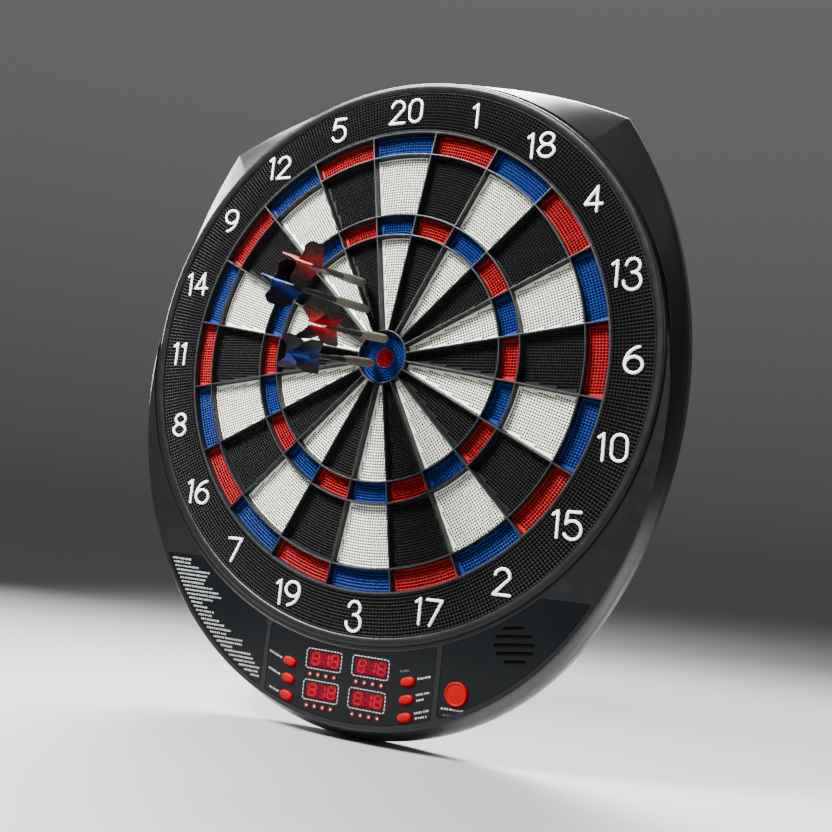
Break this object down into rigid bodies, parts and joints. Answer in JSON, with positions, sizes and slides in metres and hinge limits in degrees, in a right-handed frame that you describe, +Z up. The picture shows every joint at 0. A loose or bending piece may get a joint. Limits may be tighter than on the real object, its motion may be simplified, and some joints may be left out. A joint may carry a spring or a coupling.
{
  "type": "electronic dartboard",
  "caption": "Wall-hung electronic soft-tip dartboard with sprung scoring segments, a lit scoring panel with push buttons, and darts stuck in the target.",
  "frame": {"origin": "on the wall plane, straight behind the middle of the bull", "axes": "+Z up, +X to the player's right, +Y into the wall, so the target faces -Y"},
  "size_m": [0.439, 0.1401, 0.4887],
  "materials": {
    "housing_plastic": "satin moulded",
    "cover_plastic": "matt moulded",
    "screw_steel": "zinc plated",
    "inlet_plastic": "gloss",
    "spider_plastic": "satin moulded",
    "catch_plastic": "matt moulded",
    "number_white": "satin",
    "film": "film",
    "soft_rubber": "matt",
    "panel_plastic": "gloss printed",
    "window_red": "tinted clear plastic",
    "display_red": "gloss",
    "board_green": "solder mask",
    "speaker_metal": "satin",
    "segment_white": "satin moulded",
    "segment_black": "satin moulded",
    "segment_blue": "satin moulded",
    "segment_red": "satin moulded",
    "button_red": "satin",
    "dart_point": "satin",
    "dart_barrel": "knurled, plated",
    "flight_red": "printed film",
    "flight_blue": "printed film"
  },
  "bodies": {
    "board": {"front_housing": "housing_plastic", "back_cover": "cover_plastic", "cover_screws": "screw_steel", "power_inlet": "inlet_plastic", "spider": "spider_plastic", "catch_ring": "catch_plastic", "dial_numbers": "number_white", "backing_plate": "cover_plastic", "sensor_membrane": "film", "sensor_pad": "soft_rubber", "score_panel": "panel_plastic", "game_list_panel": "panel_plastic", "speaker_panel": "panel_plastic", "display_windows": "window_red", "led_displays": "display_red", "main_circuit_board": "board_green", "button_keypad": "soft_rubber", "speaker_driver": "speaker_metal", "ribbon_cable": "film"},
    "number_20": {"segments_20": "segment_white"},
    "number_01": {"segments_01": "segment_black"},
    "number_18": {"segments_18": "segment_white"},
    "number_04": {"segments_04": "segment_black"},
    "number_13": {"segments_13": "segment_white"},
    "number_06": {"segments_06": "segment_black"},
    "number_10": {"segments_10": "segment_white"},
    "number_15": {"segments_15": "segment_black"},
    "number_02": {"segments_02": "segment_white"},
    "number_17": {"segments_17": "segment_black"},
    "number_03": {"segments_03": "segment_white"},
    "number_19": {"segments_19": "segment_black"},
    "number_07": {"segments_07": "segment_white"},
    "number_16": {"segments_16": "segment_black"},
    "number_08": {"segments_08": "segment_white"},
    "number_11": {"segments_11": "segment_black"},
    "number_14": {"segments_14": "segment_white"},
    "number_09": {"segments_09": "segment_black"},
    "number_12": {"segments_12": "segment_white"},
    "number_05": {"segments_05": "segment_black"},
    "outer_bull": {"outer_bull_segment": "segment_blue"},
    "inner_bull": {"inner_bull_segment": "segment_red"},
    "left_upper_button_cap": {"left_upper_button": "button_red"},
    "left_middle_button_cap": {"left_middle_button": "button_red"},
    "left_lower_button_cap": {"left_lower_button": "button_red"},
    "right_upper_button_cap": {"right_upper_button": "button_red"},
    "right_middle_button_cap": {"right_middle_button": "button_red"},
    "right_lower_button_cap": {"right_lower_button": "button_red"},
    "round_button_cap": {"round_button": "button_red"},
    "dart_1": {"dart_1_point": "dart_point", "dart_1_barrel": "dart_barrel", "dart_1_shaft_and_flight": "flight_red"},
    "dart_2": {"dart_2_point": "dart_point", "dart_2_barrel": "dart_barrel", "dart_2_shaft_and_flight": "flight_blue"},
    "dart_3": {"dart_3_point": "dart_point", "dart_3_barrel": "dart_barrel", "dart_3_shaft_and_flight": "flight_red"},
    "dart_4": {"dart_4_point": "dart_point", "dart_4_barrel": "dart_barrel", "dart_4_shaft_and_flight": "flight_blue"}
  },
  "joints": [
    {"name": "number_20_press", "type": "slide", "parent": "board", "child": "number_20", "axis": [0, 1, 0], "range_m": [0, 0.001], "stiffness_N_per_m": 1500, "springref_m": -0.0005},
    {"name": "number_01_press", "type": "slide", "parent": "board", "child": "number_01", "axis": [0, 1, 0], "range_m": [0, 0.001], "stiffness_N_per_m": 1500, "springref_m": -0.0005},
    {"name": "number_18_press", "type": "slide", "parent": "board", "child": "number_18", "axis": [0, 1, 0], "range_m": [0, 0.001], "stiffness_N_per_m": 1500, "springref_m": -0.0005},
    {"name": "number_04_press", "type": "slide", "parent": "board", "child": "number_04", "axis": [0, 1, 0], "range_m": [0, 0.001], "stiffness_N_per_m": 1500, "springref_m": -0.0005},
    {"name": "number_13_press", "type": "slide", "parent": "board", "child": "number_13", "axis": [0, 1, 0], "range_m": [0, 0.001], "stiffness_N_per_m": 1500, "springref_m": -0.0005},
    {"name": "number_06_press", "type": "slide", "parent": "board", "child": "number_06", "axis": [0, 1, 0], "range_m": [0, 0.001], "stiffness_N_per_m": 1500, "springref_m": -0.0005},
    {"name": "number_10_press", "type": "slide", "parent": "board", "child": "number_10", "axis": [0, 1, 0], "range_m": [0, 0.001], "stiffness_N_per_m": 1500, "springref_m": -0.0005},
    {"name": "number_15_press", "type": "slide", "parent": "board", "child": "number_15", "axis": [0, 1, 0], "range_m": [0, 0.001], "stiffness_N_per_m": 1500, "springref_m": -0.0005},
    {"name": "number_02_press", "type": "slide", "parent": "board", "child": "number_02", "axis": [0, 1, 0], "range_m": [0, 0.001], "stiffness_N_per_m": 1500, "springref_m": -0.0005},
    {"name": "number_17_press", "type": "slide", "parent": "board", "child": "number_17", "axis": [0, 1, 0], "range_m": [0, 0.001], "stiffness_N_per_m": 1500, "springref_m": -0.0005},
    {"name": "number_03_press", "type": "slide", "parent": "board", "child": "number_03", "axis": [0, 1, 0], "range_m": [0, 0.001], "stiffness_N_per_m": 1500, "springref_m": -0.0005},
    {"name": "number_19_press", "type": "slide", "parent": "board", "child": "number_19", "axis": [0, 1, 0], "range_m": [0, 0.001], "stiffness_N_per_m": 1500, "springref_m": -0.0005},
    {"name": "number_07_press", "type": "slide", "parent": "board", "child": "number_07", "axis": [0, 1, 0], "range_m": [0, 0.001], "stiffness_N_per_m": 1500, "springref_m": -0.0005},
    {"name": "number_16_press", "type": "slide", "parent": "board", "child": "number_16", "axis": [0, 1, 0], "range_m": [0, 0.001], "stiffness_N_per_m": 1500, "springref_m": -0.0005},
    {"name": "number_08_press", "type": "slide", "parent": "board", "child": "number_08", "axis": [0, 1, 0], "range_m": [0, 0.001], "stiffness_N_per_m": 1500, "springref_m": -0.0005},
    {"name": "number_11_press", "type": "slide", "parent": "board", "child": "number_11", "axis": [0, 1, 0], "range_m": [0, 0.001], "stiffness_N_per_m": 1500, "springref_m": -0.0005},
    {"name": "number_14_press", "type": "slide", "parent": "board", "child": "number_14", "axis": [0, 1, 0], "range_m": [0, 0.001], "stiffness_N_per_m": 1500, "springref_m": -0.0005},
    {"name": "number_09_press", "type": "slide", "parent": "board", "child": "number_09", "axis": [0, 1, 0], "range_m": [0, 0.001], "stiffness_N_per_m": 1500, "springref_m": -0.0005},
    {"name": "number_12_press", "type": "slide", "parent": "board", "child": "number_12", "axis": [0, 1, 0], "range_m": [0, 0.001], "stiffness_N_per_m": 1500, "springref_m": -0.0005},
    {"name": "number_05_press", "type": "slide", "parent": "board", "child": "number_05", "axis": [0, 1, 0], "range_m": [0, 0.001], "stiffness_N_per_m": 1500, "springref_m": -0.0005},
    {"name": "outer_bull_press", "type": "slide", "parent": "board", "child": "outer_bull", "axis": [0, 1, 0], "range_m": [0, 0.001], "stiffness_N_per_m": 800, "springref_m": -0.0005},
    {"name": "inner_bull_press", "type": "slide", "parent": "board", "child": "inner_bull", "axis": [0, 1, 0], "range_m": [0, 0.001], "stiffness_N_per_m": 800, "springref_m": -0.0005},
    {"name": "left_upper_button_press", "type": "slide", "parent": "board", "child": "left_upper_button_cap", "axis": [0, 1, 0], "range_m": [0, 0.0012], "stiffness_N_per_m": 400, "springref_m": -0.0005},
    {"name": "left_middle_button_press", "type": "slide", "parent": "board", "child": "left_middle_button_cap", "axis": [0, 1, 0], "range_m": [0, 0.0012], "stiffness_N_per_m": 400, "springref_m": -0.0005},
    {"name": "left_lower_button_press", "type": "slide", "parent": "board", "child": "left_lower_button_cap", "axis": [0, 1, 0], "range_m": [0, 0.0012], "stiffness_N_per_m": 400, "springref_m": -0.0005},
    {"name": "right_upper_button_press", "type": "slide", "parent": "board", "child": "right_upper_button_cap", "axis": [0, 1, 0], "range_m": [0, 0.0012], "stiffness_N_per_m": 400, "springref_m": -0.0005},
    {"name": "right_middle_button_press", "type": "slide", "parent": "board", "child": "right_middle_button_cap", "axis": [0, 1, 0], "range_m": [0, 0.0012], "stiffness_N_per_m": 400, "springref_m": -0.0005},
    {"name": "right_lower_button_press", "type": "slide", "parent": "board", "child": "right_lower_button_cap", "axis": [0, 1, 0], "range_m": [0, 0.0012], "stiffness_N_per_m": 400, "springref_m": -0.0005},
    {"name": "round_button_press", "type": "slide", "parent": "board", "child": "round_button_cap", "axis": [0, 1, 0], "range_m": [0, 0.0012], "stiffness_N_per_m": 400, "springref_m": -0.0005},
    {"name": "dart_1_pull", "type": "slide", "parent": "board", "child": "dart_1", "axis": [0.1134, -0.9859, -0.1232], "range_m": [0, 0.03]},
    {"name": "dart_2_pull", "type": "slide", "parent": "board", "child": "dart_2", "axis": [-0.0994, -0.9938, -0.0497], "range_m": [0, 0.03]},
    {"name": "dart_3_pull", "type": "slide", "parent": "board", "child": "dart_3", "axis": [0.0367, -0.992, -0.121], "range_m": [0, 0.03]},
    {"name": "dart_4_pull", "type": "slide", "parent": "board", "child": "dart_4", "axis": [-0.002, -0.9922, -0.125], "range_m": [0, 0.03]}
  ]
}
